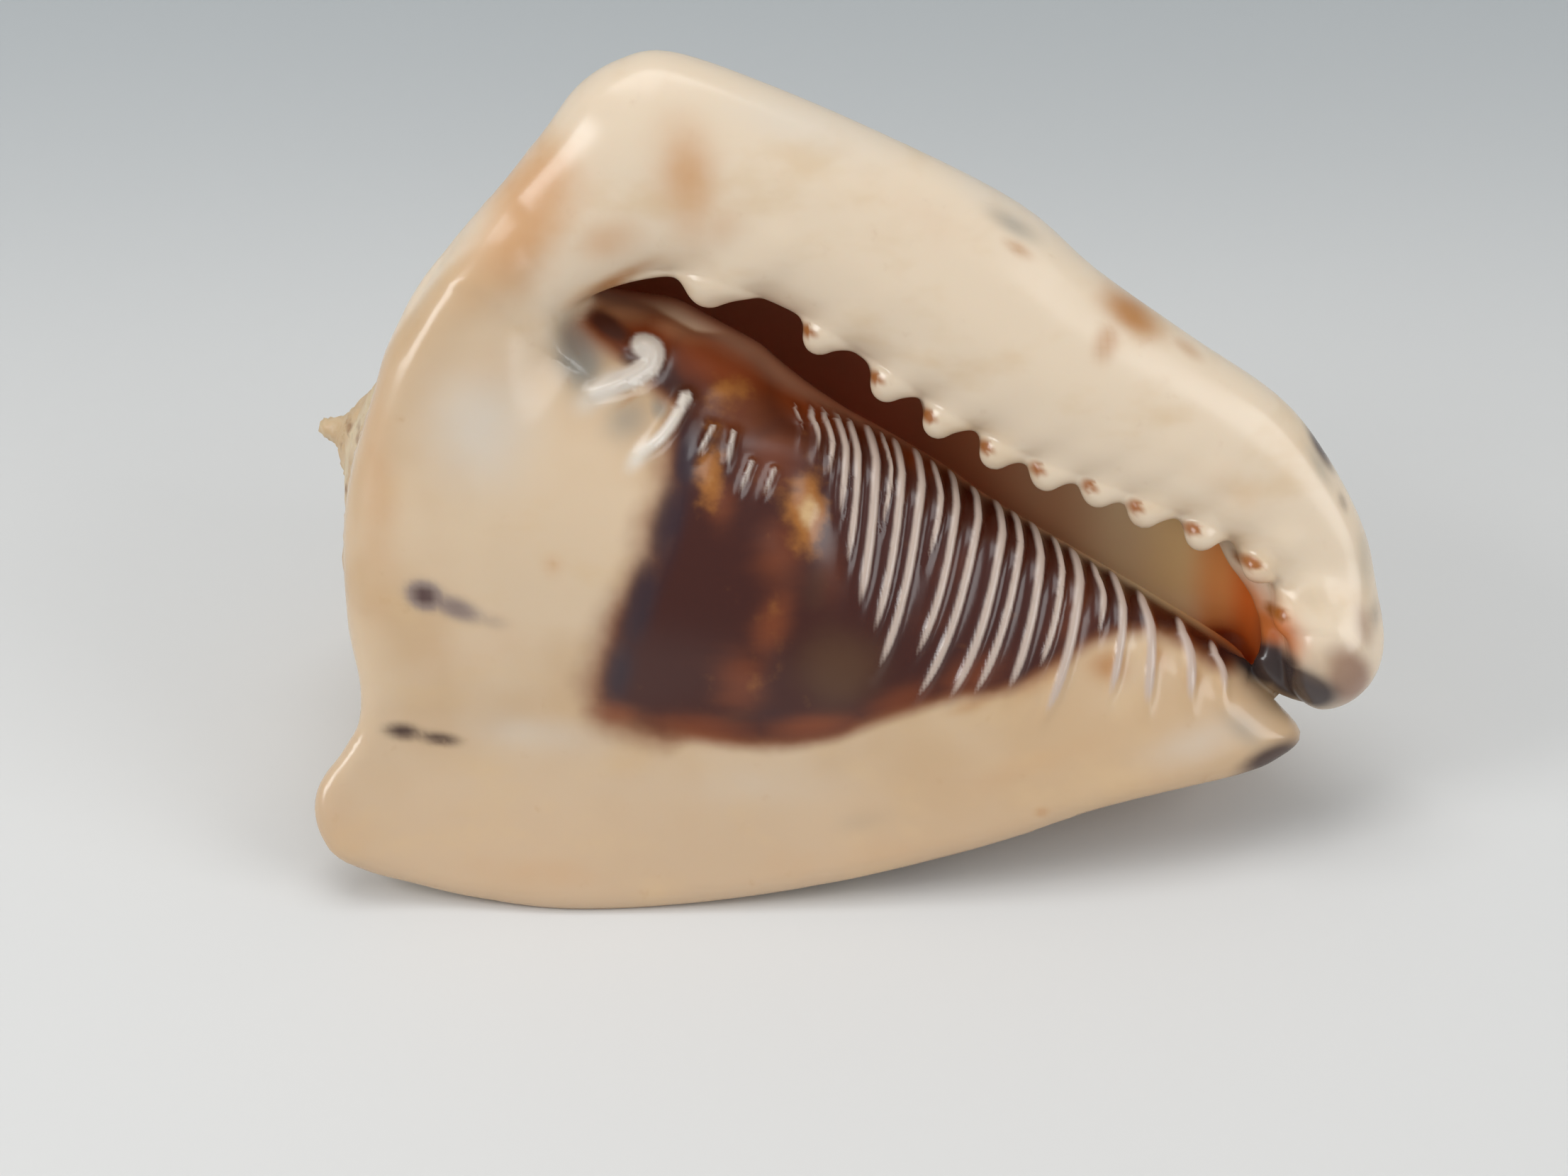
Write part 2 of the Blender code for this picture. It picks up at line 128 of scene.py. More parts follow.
shield = {
    "rim": [
        (90.5, -52), (85, -57), (77, -59.5), (65, -61.5), (49, -65), (34, -70), (16, -75), (-4, -79.5),
        (-27, -83), (-51, -84.5), (-71, -82.5), (-86, -79), (-94, -76.5), (-100, -73), (-103, -66),
        (-102, -59.5), (-97, -52.5), (-94, -45), (-93, -23), (-93, -6), (-90, 7), (-85, 18), (-79, 28),
        (-71, 37), (-62, 42), (-54, 36)],
    "columella": [
        (-53.5, 29.5), (-45, 22), (-37, 15), (-28, 12), (-17, 11), (-6, 9), (5, 5.5), (16, 0), (23, -5),
        (33, -11), (43, -17.5), (56, -25.5), (67, -32.5), (76, -38.5), (83, -44)],
    "thickness": 7,
    "rounding": 3.4,
    "bend": (3, 26),  # near the columella, between these distances, it is thicker and rounder
    "bendThickness": 10,
    "bendRounding": 4.6,
    "shoulder": (-70, -50, -26, -12),  # u and w between which it runs softly into the wall
    # points its face goes near: u, v, height
    "heights": [
        (-90, 0, 1.5), (-91, -40, 2), (-75, -10, 0), (-75, -40, -1), (-98, -68, 3), (-60, -80, 2.5),
        (0, -76, 2.5), (50, -62, 0.5), (85, -53, -6), (-85, -56, -2), (-60, -62, -2.5), (0, -60, -1),
        (40, -52, -1), (-30, -30, 4), (-20, -10, 4), (0, -30, 3.5), (30, -35, 0), (40, -20, -7),
        (-5, 3, -7), (20, -8, -7), (-37, 8, -4), (62, -36, -6), (-58, 8, 0), (-66, 30, 2), (-62, 41, 4),
        (-50, 27, -8), (-42, 18, -9), (-26, 12, -9), (-12, 10, -9)],
}

opening = {
    "edge": [
        (-55.5, 29.5), (-46.5, 35.8), (-33, 38.5), (-21, 36), (-9, 31), (3, 23), (14, 15.5), (25, 9),
        (35, 3.5), (45, 0), (55, -4), (65, -8), (76, -13.5), (84.5, -23), (87, -34), (88, -42),
        (93, -50), (90, -58), (70, -48), (40, -35), (0, -10), (-40, 5), (-52, 20)],
    "pad": [(-62, 24, -26, 13), (-38, 20, -25, 14), (-25, 13, -26, 14), (-8, 0, -27, 12.5),
            (12, -12, -27, 11)],
    "depth": (30, 12),  # of the slot below it, at the spire and at the canal
    "shallower": (52, 82),  # u between which that changes
}

canal = {
    "wall": [
        (46, -20, -26, 17), (62, -32, -30, 16), (74, -38, -36, 14.5), (78, -43.5, -46, 12.5),
        (79, -48.3, -55, 10.5)],
    "shoulder": [(94, -35, -8, 8), (86, -33, -18, 8), (76, -33, -28, 10)],
    "bore": [
        (20, 0, -16, 9), (50, -13, -13, 8), (72, -28, -12, 7), (79, -36, -22, 6.5), (78, -41, -35, 5.5),
        (77, -50, -50, 5), (76, -58, -68, 5)],
}

# Over how many mm two forms run into each other.
blends = {"face": 6, "lip": 9, "turn": 2, "canal": 12, "hollow": 5, "slot": 6, "wall": 2.5,
          "pillar": 6, "pad": 8, "shield": 12, "core": 4, "shoulder": 12, "tooth": 4.5}


def unit(vector):
    return np.array(vector, float) / np.linalg.norm(vector)


def smoothMin(a, b, blend):
    share = np.clip(0.5 + 0.5 * (b - a) / blend, 0, 1)
    return b + (a - b) * share - blend * share * (1 - share)


def smoothMax(a, b, blend):
    return -smoothMin(-a, -b, blend)


def smoothStep(low, high, x):
    t = np.clip((x - low) / (high - low), 0, 1)
    return t * t * (3 - 2 * t)


def splinePoints(points, cuts, closed=False):
    # a smooth curve through the points, with this many pieces between each two
    p = np.array(points, float)
    if closed:
        p = np.vstack([p[-1], p, p[:2]])
    else:
        p = np.vstack([2 * p[0] - p[1], p, 2 * p[-1] - p[-2]])
    t = (np.arange(cuts) / cuts)[:, None]
    spans = []
    for a, b, c, d in zip(p[:-3], p[1:-2], p[2:-1], p[3:]):
        spans.append(0.5 * (2 * b + (c - a) * t + (2 * a - 5 * b + 4 * c - d) * t ** 2
                            + (3 * b - a - 3 * c + d) * t ** 3))
    curve = np.vstack(spans)
    return curve if closed else np.vstack([curve, p[-2]])


def lineDistance(line, u, v):
    best = 1e9
    for a, b in zip(line[:-1], line[1:]):
        e = b - a
        t = np.clip(((u - a[0]) * e[0] + (v - a[1]) * e[1]) / (e @ e), 0, 1)
        best = np.minimum(best, (u - a[0] - t * e[0]) ** 2 + (v - a[1] - t * e[1]) ** 2)
    return np.sqrt(best)


def outlineDistance(points, u, v):
    # distance to a closed outline, negative inside it
    loop = splinePoints(points, 5, closed=True)
    loop = np.vstack([loop, loop[0]])
    inside = np.zeros(np.broadcast(u, v).shape, bool)
    for a, b in zip(loop[:-1], loop[1:]):
        if a[1] != b[1]:
            across = u < (b[0] - a[0]) * (v - a[1]) / (b[1] - a[1]) + a[0]
            inside ^= ((a[1] > v) != (b[1] > v)) & across
    return np.where(inside, -1, 1) * lineDistance(loop, u, v)


def plateHeight(points, u, v, stiffness=120.0):
    # height of a thin springy plate laid through the points (u, v, height)
    p = np.array(points, float)
    n = len(p)
    gap = np.hypot(p[:, None, 0] - p[:, 0], p[:, None, 1] - p[:, 1])
    flat = np.column_stack([np.ones(n), p[:, :2]])
    system = np.zeros((n + 3, n + 3))
    system[:n, :n] = gap ** 2 * np.log(gap + 1e-9) + stiffness * np.eye(n)
    system[:n, n:] = flat
    system[n:, :n] = flat.T
    weights = np.linalg.solve(system, np.append(p[:, 2], [0, 0, 0]))
    height = weights[n] + weights[n + 1] * u + weights[n + 2] * v
    for (pu, pv, _), weight in zip(p, weights):
        r = np.hypot(u - pu, v - pv)
        height = height + weight * r ** 2 * np.log(r + 1e-9)
    return height


def tube(points, u, v, w):
    # distance to a round bar through the points (u, v, w, radius)
    best = 1e9
    for a, b in zip(np.array(points, float)[:-1], np.array(points, float)[1:]):
        e = (b - a)[:3]
        t = np.clip(((u - a[0]) * e[0] + (v - a[1]) * e[1] + (w - a[2]) * e[2]) / (e @ e), 0, 1)
        away = (u - a[0] - t * e[0]) ** 2 + (v - a[1] - t * e[1]) ** 2 + (w - a[2] - t * e[2]) ** 2
        best = np.minimum(best, np.sqrt(away) - a[3] - t * (b[3] - a[3]))
    return best


def slab(edge, top, thickness, rounding, w):
    # distance to a plate of this outline whose edges are rounded
    x = edge + rounding
    y = np.abs(w - top + thickness / 2) - thickness / 2 + rounding
    return np.hypot(np.maximum(x, 0), np.maximum(y, 0)) + np.minimum(np.maximum(x, y), 0) - rounding


def coilPlace(u, v, w):
    # distance along the coil's axis, distance from it, and turn angle from -180 to 180
    along = unit(coil["axis"])
    front = unit(np.array([0, 0, 1]) - along[2] * along)
    below = -np.cross(along, front) if np.cross(along, front)[1] > 0 else np.cross(along, front)
    q = [c - a for c, a in zip((u, v, w), coil["apex"])]
    s, x, y = (sum(q[i] * way[i] for i in range(3)) for way in (along, front, below))
    return s, np.hypot(x, y), np.degrees(np.arctan2(y, x))


def turnScale(turn):
    return coil["growthPerTurn"] ** ((turn - 180) / 360)


def knobWave(turn):
    # 1 at the middle of each knob along a turn, 0 between two
    return (0.5 + 0.5 * np.cos(np.radians(coil["knobsPerTurn"] * turn + coil["knobPhase"]))) ** 2


def turnDistance(s, r, angle, knobs=False, flared=False):
    # distance to the skin of the coil where it has turned this far
    profile = splinePoints(coil["profile"], 8)
    scale = turnScale(angle)
    level = s / scale
    none, noneAtCanal = coil["noRadius"]
    radius = np.interp(level, *profile.T, none, none)
    if knobs:
        wave = knobWave(angle) * (1 - smoothStep(*coil["knobsFade"], angle))
        wave = wave * np.where(angle > coil["earlierEnd"], smoothStep(*coil["knobsRise"], angle), 1)
        for at, height, half in coil["knobRows"]:
            radius = radius + height * wave * np.exp(-((level - at) / half) ** 2)
    taperFrom, power = coil["taper"]
    radius = radius * scale * np.minimum(1, scale / taperFrom) ** power
    lean = np.interp(level, *np.array(coil["slope"]).T)
    if flared:
        root = splinePoints(coil["lipRoot"], 6)
        reach = smoothStep(*coil["flare"], angle)
        opened = np.interp(s, *root.T, none, noneAtCanal)
        radius = radius + reach * (opened - radius)
        easeFrom, ease = coil["flareEase"]
        lean = lean * (1 - ease * reach * (s > easeFrom))
    return (r - radius) * lean


def flatMap(measure, shape, cell=0.5):
    # keeps a shape's measure on a fine grid of (u, v) and reads it between the grid's points
    lowU, lowV, highU, highV = -122, -100, 122, 100
    columns = np.arange(lowU, highU + cell, cell)
    rows = np.arange(lowV, highV + cell, cell)
    kept = measure(shape, columns[:, None], rows[None, :])

    def read(u, v):
        x = np.clip((u - lowU) / cell, 0, len(columns) - 1.001)
        y = np.clip((v - lowV) / cell, 0, len(rows) - 1.001)
        i, j = x.astype(int), y.astype(int)
        x, y = x - i, y - j
        low = kept[i, j] * (1 - x) + kept[i + 1, j] * x
        high = kept[i, j + 1] * (1 - x) + kept[i + 1, j + 1] * x
        return low * (1 - y) + high * y
    return read


lipOutline = flatMap(outlineDistance, lip["rim"] + lip["edge"] + lip["back"])
lipRimGap = flatMap(lineDistance, splinePoints(lip["rim"], 4))
lipEdgeGap = flatMap(lineDistance, splinePoints(lip["edge"], 4))
columellaGap = flatMap(lineDistance, splinePoints(shield["columella"], 4))
shieldOutline = flatMap(outlineDistance, shield["rim"] + shield["columella"])
shieldTop = flatMap(plateHeight, shield["heights"])
openingOutline = flatMap(outlineDistance, opening["edge"])
print("outlines measured")


def lipTop(u, v):
    # height of the lip's face: a soft crown between its rim and its toothed edge
    rimGap = lipRimGap(u, v)
    width = rimGap + lipEdgeGap(u, v)
    share = rimGap / width
    past = u - lip["tiltFrom"]
    rise = smoothStep(*lip["crownHeights"], v + 2 * np.maximum(0, past))
    rise = rise * smoothStep(*lip["crownWidths"], width)
    crown = lip["crown"] * rise * (4 * share * (1 - share)) ** lip["crownPower"]
    return lip["level"] - lip["tilt"] * past + crown


def toothAxis(tipU, tipV, half):
    # the points (u, v, w, radius) of one tooth
    begin, end, share = teeth["shorten"]
    run = 1 - share * smoothStep(begin, end, tipU)
    fall = lip["tilt"] * (tipU - lip["tiltFrom"]) + teeth["lower"] * (1 - run)
    (underU, underV, underW), (noseU, noseW) = teeth["under"], teeth["nose"]
    (overU, overV, overW), (upU, upV, upW) = teeth["over"], teeth["up"]
    return [(tipU + underU, tipV + underV, underW, half), (tipU + noseU, tipV + half, noseW, half),
            (tipU + overU * run, tipV + overV + half / 3, overW - fall, half),
            (tipU + upU * run, tipV + overV + upV * run, upW - fall, half - teeth["thinner"])]


def shellDistance(u, v, w, parts=None):
    # distance to the shell's skin without its ridges and folds, negative inside its wall
    s, r, angle = coilPlace(u, v, w)
    top = lipTop(u, v)
    thin, thick = lip["thickness"]
    deep = thin + (thick - thin) * smoothStep(*lip["thickens"], u)
    lipPlate = slab(lipOutline(u, v), top, deep, lip["rounding"], w)

    bend = 1 - smoothStep(*shield["bend"], columellaGap(u, v))
    shieldDeep = shield["thickness"] + shield["bendThickness"] * bend
    shieldRound = shield["rounding"] + shield["bendRounding"] * bend
    shieldPlate = slab(shieldOutline(u, v), shieldTop(u, v), shieldDeep, shieldRound, w)

    # last turn with the spire, the lip and the canal, all later hollowed
    late = np.where(angle > coil["lastTurnEnd"], angle, angle + 360)
    lastTurn = turnDistance(s, r, late, knobs=True, flared=True)
    outer = smoothMax(lastTurn, w - top + lip["overLap"], blends["face"])
    wall = smoothMin(outer, lipPlate, blends["lip"])
    whole = np.where(angle > coil["earlierSeam"], angle, angle + 360)
    for turn in range(1, coil["earlierTurns"] + 1):
        wall = smoothMin(wall, turnDistance(s, r, whole - 360 * turn, knobs=True), blends["turn"])
    wall = smoothMin(wall, tube(coil["tip"], u, v, w), blends["turn"])
    canalWall = np.minimum(tube(canal["wall"], u, v, w), tube(canal["shoulder"], u, v, w))
    wall = smoothMin(wall, canalWall, blends["canal"])

    if parts is not None:
        parts.update(outside=wall, lip=lipPlate, shield=shieldPlate, level=s, turn=late)

    fromStart = r * np.sin(np.radians(np.clip(coil["hollowStart"] - late, -90, 90)))
    hollow = smoothMax(turnDistance(s, r, late, flared=True) + coil["wall"], fromStart, blends["hollow"])
    hollow = smoothMax(hollow, w - top + deep - lip["underLap"], blends["hollow"])
    deepest, shallowest = opening["depth"]
    slotFloor = deepest + (shallowest - deepest) * smoothStep(*opening["shallower"], u)
    slot = np.maximum(openingOutline(u, v), -w - slotFloor)
    hollow = smoothMin(hollow, tube(canal["bore"], u, v, w), blends["hollow"])
    hollow = smoothMin(hollow, slot, blends["slot"])
    wall = smoothMax(wall, -hollow, blends["wall"])

    # what the hollow leaves: the turn before, the pillar, the pad inside the opening and the shield
    before = np.where(angle > 0, angle - 360, angle)
    pastStart = r * np.sin(np.radians(np.clip(angle - coil["hollowStart"], -90, 90)))
    pastStart = np.where(angle > coil["earlierEnd"], pastStart, coil["farOff"])
    front = np.maximum(turnDistance(s, r, angle), pastStart)
    core = np.minimum(turnDistance(s, r, before), front)
    pillar = splinePoints(coil["pillar"], 6)
    none = coil["noRadius"][0]
    thick = np.interp(s, *pillar.T, none, none)
    core = smoothMin(core, coil["pillarSlope"] * (r - thick), blends["pillar"])
    core = smoothMin(core, tube(opening["pad"], u, v, w), blends["pad"])
    core = smoothMin(core, shieldPlate, blends["shield"])
    beginU, endU, beginW, endW = shield["shoulder"]
    shoulder = (1 - smoothStep(beginU, endU, u)) * smoothStep(beginW, endW, w)
    skin = smoothMin(wall, core, blends["core"] + blends["shoulder"] * shoulder)

    for tip in teeth["tips"]:
        skin = smoothMin(skin, tube(toothAxis(*tip), u, v, w), blends["tooth"])
    return skin


skin = {
    "gridStep": 2.8,
    "halvings": 2,  # how often the grid is halved where the ridges and teeth are
    "evenings": 2,
    # spots at the apex and the canal that are fine all round: place, reach
    "fineSpots": [(-104, 6, -46, 9), (86, -46, -14, 14), (80, -50, -34, 12)],
    "fineDepth": -24,  # the ridges and teeth lie above this w
    "toothReach": 7,  # how far from the lip's edge the teeth reach
    "fineMargin": 5,
    "seen": (-3, 2),  # deeper under the wall and farther from the shield nothing is seen
    "low": (-116.0, -94.0, -114.0),
    "high": (114.0, 90.0, 20.0),
    "fineOutline": [
        (-46, 32), (-34, 20), (-14, 18), (4, 14), (22, 5), (45, -10), (66, -24), (86, -40), (88, -50),
        (72, -54), (40, -54), (14, -50), (-4, -38), (-16, -14), (-34, -2), (-52, 8), (-56, 22)],
}


def gridSkin():
    # the closed skin as points and quads, from the distances on a grid
    step = skin["gridStep"]
    low = np.array(skin["low"])
    counts = np.ceil((np.array(skin["high"]) - low) / step).astype(int)
    u, v, w = (low[i] + step * np.arange(counts[i]) for i in range(3))
    band = 3 * step
    grid = openvdb.FloatGrid(band)
    distance = shellDistance(u[:, None, None], v[None, :, None], w[None, None, :])
    grid.copyFromArray(np.clip(distance, -band, band).astype(np.float32))
    points, quads = grid.convertToQuads(isovalue=0)
    return points * step + low, quads


def dropCrumbs(bm):
    # keeps only the largest island
    islands, seen = [], set()
    for start in bm.verts:
        if start in seen:
            continue
        island, front = {start}, [start]
        while front:
            for edge in front.pop().link_edges:
                for vertex in edge.verts:
                    if vertex not in island:
                        island.add(vertex)
                        front.append(vertex)
        seen |= island
        islands.append(island)
    largest = max(islands, key=len)
    for island in islands:
        if island is not largest:
            bmesh.ops.delete(bm, geom=list(island), context='VERTS')


def fineness(u, v, w):
    # how often to halve: twice on ridges, folds, teeth, canal and tip, once on the rest of the
    # outside, and not at all deep inside
    ridged = -outlineDistance(skin["fineOutline"], u, v)
    toothed = skin["toothReach"] - lineDistance(splinePoints(lip["edge"][:13], 2), u, v)
    inside = np.where(w > skin["fineDepth"], np.maximum(ridged, toothed), -coil["farOff"])
    for spotU, spotV, spotW, reach in skin["fineSpots"]:
        away = np.sqrt((u - spotU) ** 2 + (v - spotV) ** 2 + (w - spotW) ** 2)
        inside = np.maximum(inside, reach - away)
    parts = {}
    shellDistance(u, v, w, parts)
    seen = (parts["outside"] > skin["seen"][0]) | (parts["shield"] < skin["seen"][1])
    return ((inside > -skin["fineMargin"]) | seen).astype(int) + (seen & (inside > 0))


def refine(bm):
    for level in range(skin["halvings"]):
        bm.faces.ensure_lookup_table()
        centres = np.array([face.calc_center_median() for face in bm.faces])
        wanted = fineness(*centres.T) > level
        edges = {edge for face, take in zip(bm.faces, wanted) if take for edge in face.edges}
        bmesh.ops.subdivide_edges(bm, edges=list(edges), cuts=1, use_grid_fill=True)


def settle(points, rounds=3, reach=0.25, most=0.9, flattest=0.1):
    # moves the points onto the true skin, along the steepest way
    ways = np.array([shellDistance(*(points + reach * axis).T)
                     - shellDistance(*(points - reach * axis).T) for axis in np.eye(3)]).T / (2 * reach)
    steep = np.maximum((ways ** 2).sum(1), flattest)
    for _ in range(rounds):
        shift = -(shellDistance(*points.T) / steep)[:, None] * ways
        length = np.linalg.norm(shift, axis=1, keepdims=True)
        points = points + shift * np.minimum(1, most / np.maximum(length, 1e-9))
    return points


def toWorld():
    # the face's frame stood on the table, in metres
    lean = math.radians(rest["faceTilt"])
    turned = Matrix(((1, 0, 0, 0),
                     (0, math.sin(lean), -math.cos(lean), 0),
                     (0, math.cos(lean), math.sin(lean), 0),
                     (0, 0, 0, 1)))
    middleX, middleY = rest["middle"]
    stand = Matrix.Translation((-middleX / 1000, -middleY / 1000, (-rest["level"] - rest["sink"]) / 1000))
    return stand @ turned @ Matrix.Scale(0.001, 4)


def makeSkin():
    # the settled skin: a coarse grid, halved where it matters, then evened out on the true surface
    points, quads = gridSkin()
    mesh = bpy.data.meshes.new("shell skin")
    mesh.from_pydata(points.tolist(), [], quads.tolist())
    bm = bmesh.new()
    bm.from_mesh(mesh)
    dropCrumbs(bm)
    refine(bm)
    bmesh.ops.triangulate(bm, faces=[face for face in bm.faces if len(face.verts) > 4])
    for _ in range(skin["evenings"]):
        settled = settle(np.array([vertex.co for vertex in bm.verts]))
        for vertex, spot in zip(bm.verts, settled):
            vertex.co = spot
        bmesh.ops.smooth_vert(bm, verts=bm.verts, factor=0.5,
                              use_axis_x=True, use_axis_y=True, use_axis_z=True)
    bm.to_mesh(mesh)
    settled = settle(np.array([vertex.co for vertex in bm.verts]))
    bm.free()
    mesh.vertices.foreach_set("co", settled.astype(np.float32).ravel())
    mesh.update()
    mesh.shade_smooth()
    print("skin settled:", len(mesh.vertices), "points")
    return mesh, settled


ridges = {
    # white ridges across the columella: top u, top v, bottom u, bottom v, half width
    "lines": [
        (-9.2, 10.5, -8.9, 6, 0.5), (-6.2, 10.2, -5.9, 2, 0.65), (-3.4, 9.8, -3.6, -2, 0.65),
        (-0.7, 9.6, -1.4, -9.4, 0.75), (1.9, 8, -0.2, -18, 0.75), (5.6, 7.2, 2, -26, 0.95),
        (8.3, 5.2, 6.4, -12, 0.5), (10.9, 4, 4.6, -31, 0.85), (15.1, 2.1, 5.4, -38, 0.9),
        (18.2, -0.8, 15, -18, 0.7), (22, -2.3, 12.3, -36, 0.85), (26.5, -5.4, 12.4, -44, 0.9),
        (31.2, -7.8, 18.7, -44.5, 0.95), (34.6, -10.4, 23.3, -44, 0.85), (38.4, -12.2, 30.4, -43, 0.95),
        (42.4, -15.5, 36.4, -39, 0.75), (46, -18, 37.6, -48, 1.1), (49.8, -21, 48.6, -33, 0.75),
        (54, -22.6, 50.7, -45, 0.95), (59, -26.8, 58.5, -47, 1.1), (66.5, -32, 67.5, -46.5, 1.1),
        (73, -36.6, 74.5, -45.5, 1)],
    "spread": 1.2,
    "lean": (-9, 0.2),  # below this w they lean to the spire, mm per mm
    "bow": (1.5, 0.3),  # how they bend: mm, and share of their run in u
    "foot": (-3, 8),  # v beside a ridge's two ends between which it fades
    "head": (4.5, 0.5),
    "deepest": -40,
    # the two strong folds and the faint ones beside them: points along each, half width
    "folds": [
        ([(-39.6, 24.4), (-37.8, 23.6), (-38.6, 20.5), (-43, 17.5), (-48, 15)], 2.2),
        ([(-31.2, 14.6), (-34.2, 9.2), (-39.2, 3.8)], 1.4), ([(-25.8, 9.1), (-29, 3.1)], 0.85),
        ([(-21.8, 8.1), (-23.2, 1.1)], 0.85), ([(-18.3, 2.6), (-20.9, -3.9)], 0.8),
        ([(-14, 1.1), (-16.3, -4.4)], 0.8)],
    "foldFoot": (-1.5, 3),
    "foldHeight": (2.2, 0.9),  # half width of a full fold, and the power by which others follow
    "foldDeepest": -24,
    # rounded knots in the dark patch: u, v, half widths, share
    "lumps": [
        (-26, 0, 3.2, 7.5, 0.65), (-7.5, -6.3, 3.4, 6.5, 1), (-22.5, 15, 5, 3.5, 0.5),
        (-14, -3, 3, 4, 0.3), (-14, -27, 3, 7, 0.25), (-18, -38, 3.5, 4, 0.2)],
}


def fade(end, span, v):
    # fades in over a span of v beside this end
    return smoothStep(end + span[0], end + span[1], v)


def ridgePattern(u, v, w):
    # 1 on the crest of a white ridge of the columella, 0 between two
    leanFrom, lean = ridges["lean"]
    u = u + lean * np.maximum(0, leanFrom - w)
    bowed, bowedShare = ridges["bow"]
    pattern = 0
    for topU, topV, bottomU, bottomV, half in ridges["lines"]:
        t = np.clip((topV - v) / (topV - bottomV), 0, 1)
        bow = 3 * t * (1 - t) ** 2 * bowed + 3 * t ** 2 * (1 - t) * bowedShare * (topU - bottomU)
        middle = topU + (bottomU - topU) * t + bow
        ends = fade(bottomV, ridges["foot"], v) * fade(topV, ridges["head"], v)
        pattern = np.maximum(pattern, ends * np.exp(-((u - middle) / (half * ridges["spread"])) ** 2))
    return pattern


def foldPattern(u, v):
    # 1 on the crest of a strong fold of the columella, less on a faint one
    full, power = ridges["foldHeight"]
    pattern = 0
    for line, half in ridges["folds"]:
        away = lineDistance(splinePoints(line, 4), u, v) / half
        ends = fade(line[-1][1], ridges["foldFoot"], v)
        pattern = np.maximum(pattern, ends * np.exp(-away ** 2) * (half / full) ** power)
    return pattern


def lumpPattern(u, v):
    # rounded knots, 1 at the top of the strongest
    return sum(share * np.exp(-((u - pu) / halfU) ** 2 - ((v - pv) / halfV) ** 2)
               for pu, pv, halfU, halfV, share in ridges["lumps"])


patch = {
    # the dark patch beside the opening
    "outline": [
        (-56, 34), (-50, 29.5), (-45, 24.5), (-40.5, 22), (-37, 16.5), (-33.5, 13), (-34, 8), (-34, 0),
        (-36, -8), (-40, -17), (-44, -26), (-48.5, -36), (-49, -43.5), (-42, -47.5), (-28, -50),
        (-15, -52), (-3, -50), (8, -46), (20, -42.5), (30, -41), (40, -37), (50, -31), (60, -31),
        (68, -35), (75, -39), (80, -36), (88, -20), (60, 20), (0, 50), (-40, 60)],
    "soft": (4.5, 1.8),  # how soft its border is at the spire side and elsewhere
    "softU": (-28, -36),  # u and v between which that changes
    "softV": (12, 4),
    "most": 3,
    # the stains that lie in it
    "stains": ("purpleShade", "ember", "olive", "wallBrown", "wallTan", "wedge"),
}

regions = {
    # between which values the skin goes over from one region to the next, in mm
    "underWall": (0.8, 3),
    "offShield": (0.5, 2.5),
    "below": (-14, -22),
    "offOpening": (3, 8),
    "openingDepth": -26,
    "offPlates": (5, 9),
    "lip": (2, -5),
    "normalAway": (0.1, -0.45),  # how far the normal points out of the face
    "none": 8,  # takes a mask out of every paint's range
}

toothSpots = {
    # the brown spot beside each tooth: its place in half widths of the tooth, its turn as cosine, sine
    "place": (0.6, 1.45),
    "turn": (0.82, 0.57),
    "narrower": 1.8,
    "none": 4,
    "above": (-2.5, 1.2),  # above this w the spot is smaller, by this much
}

